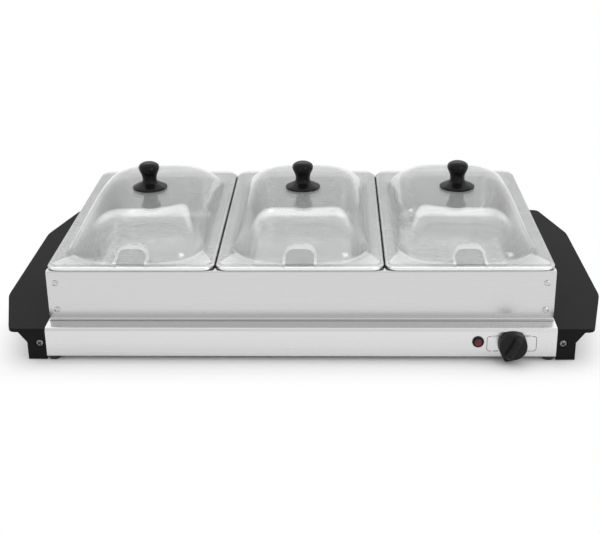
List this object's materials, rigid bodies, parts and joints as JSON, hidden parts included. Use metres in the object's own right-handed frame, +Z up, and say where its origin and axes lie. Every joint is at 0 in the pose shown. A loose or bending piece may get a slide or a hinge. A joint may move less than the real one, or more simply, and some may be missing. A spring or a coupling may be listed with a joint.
{
  "type": "electric buffet server",
  "caption": "Tabletop electric warming server: a stainless base and lift-off frame hold hanging pans under clear domed lids, with black end handles and a control knob.",
  "frame": {"origin": "centre of the server's footprint at table level, with the control knob and the cord gland counted in", "axes": "+X along the server towards the end with the control knob, +Y from front to back, +Z up"},
  "size_m": [0.636, 0.3796, 0.1562],
  "materials": {
    "brushed_steel": "brushed stainless",
    "polished_steel": "polished stainless",
    "plated_steel": "zinc plated, satin",
    "black_plastic": "fine moulded texture",
    "gloss_black": "gloss",
    "rubber": "matte",
    "red_lens": "gloss",
    "pale_insulation": "matte",
    "clear_plastic": "clear gloss"
  },
  "bodies": {
    "warming_base": {"base_shell": "brushed_steel", "bottom_cover": "plated_steel", "heating_element": "plated_steel", "element_clip_1": "plated_steel", "element_clip_2": "plated_steel", "element_clip_3": "plated_steel", "thermostat_nut": "plated_steel", "cover_screw_front_left": "plated_steel", "cover_screw_front_right": "plated_steel", "cover_screw_back_left": "plated_steel", "cover_screw_back_right": "plated_steel", "handle_screw_front_left": "plated_steel", "handle_screw_front_right": "plated_steel", "handle_screw_back_left": "plated_steel", "handle_screw_back_right": "plated_steel", "left_handle": "black_plastic", "right_handle": "black_plastic", "lamp_holder": "black_plastic", "cord_gland": "black_plastic", "foot_front_left": "rubber", "foot_front_right": "rubber", "foot_back_left": "rubber", "foot_back_right": "rubber", "lamp_lens": "red_lens", "thermostat_body": "pale_insulation", "terminal_block": "pale_insulation", "live_lead": "pale_insulation", "neutral_lead": "pale_insulation", "element_lead": "pale_insulation", "lamp_live_lead": "pale_insulation", "lamp_neutral_lead": "pale_insulation", "earth_lead": "pale_insulation"},
    "buffet_frame": {"frame_front": "brushed_steel", "frame_back": "brushed_steel", "frame_left": "brushed_steel", "frame_right": "brushed_steel", "rivet_front_1": "plated_steel", "rivet_front_2": "plated_steel", "rivet_front_3": "plated_steel", "rivet_front_4": "plated_steel", "rivet_back_1": "plated_steel", "rivet_back_2": "plated_steel", "rivet_back_3": "plated_steel", "rivet_back_4": "plated_steel"},
    "left_pan": {"pan_left": "polished_steel"},
    "left_lid": {"lid_left": "clear_plastic", "lid_knob_left": "gloss_black", "lid_screw_left": "plated_steel"},
    "middle_pan": {"pan_middle": "polished_steel"},
    "middle_lid": {"lid_middle": "clear_plastic", "lid_knob_middle": "gloss_black", "lid_screw_middle": "plated_steel"},
    "right_pan": {"pan_right": "polished_steel"},
    "right_lid": {"lid_right": "clear_plastic", "lid_knob_right": "gloss_black", "lid_screw_right": "plated_steel"},
    "control_dial": {"control_knob": "black_plastic", "thermostat_shaft": "plated_steel"}
  },
  "joints": [
    {"name": "frame_lift", "type": "slide", "parent": "warming_base", "child": "buffet_frame", "axis": [0, 0, 1], "range_m": [0, 0.06]},
    {"name": "left_pan_lift", "type": "slide", "parent": "buffet_frame", "child": "left_pan", "axis": [0, 0, 1], "range_m": [0, 0.06]},
    {"name": "left_lid_lift", "type": "slide", "parent": "left_pan", "child": "left_lid", "axis": [0, 0, 1], "range_m": [0, 0.05]},
    {"name": "middle_pan_lift", "type": "slide", "parent": "buffet_frame", "child": "middle_pan", "axis": [0, 0, 1], "range_m": [0, 0.06]},
    {"name": "middle_lid_lift", "type": "slide", "parent": "middle_pan", "child": "middle_lid", "axis": [0, 0, 1], "range_m": [0, 0.05]},
    {"name": "right_pan_lift", "type": "slide", "parent": "buffet_frame", "child": "right_pan", "axis": [0, 0, 1], "range_m": [0, 0.06]},
    {"name": "right_lid_lift", "type": "slide", "parent": "right_pan", "child": "right_lid", "axis": [0, 0, 1], "range_m": [0, 0.05]},
    {"name": "dial_turn", "type": "hinge", "parent": "warming_base", "child": "control_dial", "pos_m": [0.2144, -0.17255, 0.0192], "axis": [0, 1, 0], "range_deg": [0, 270]}
  ]
}
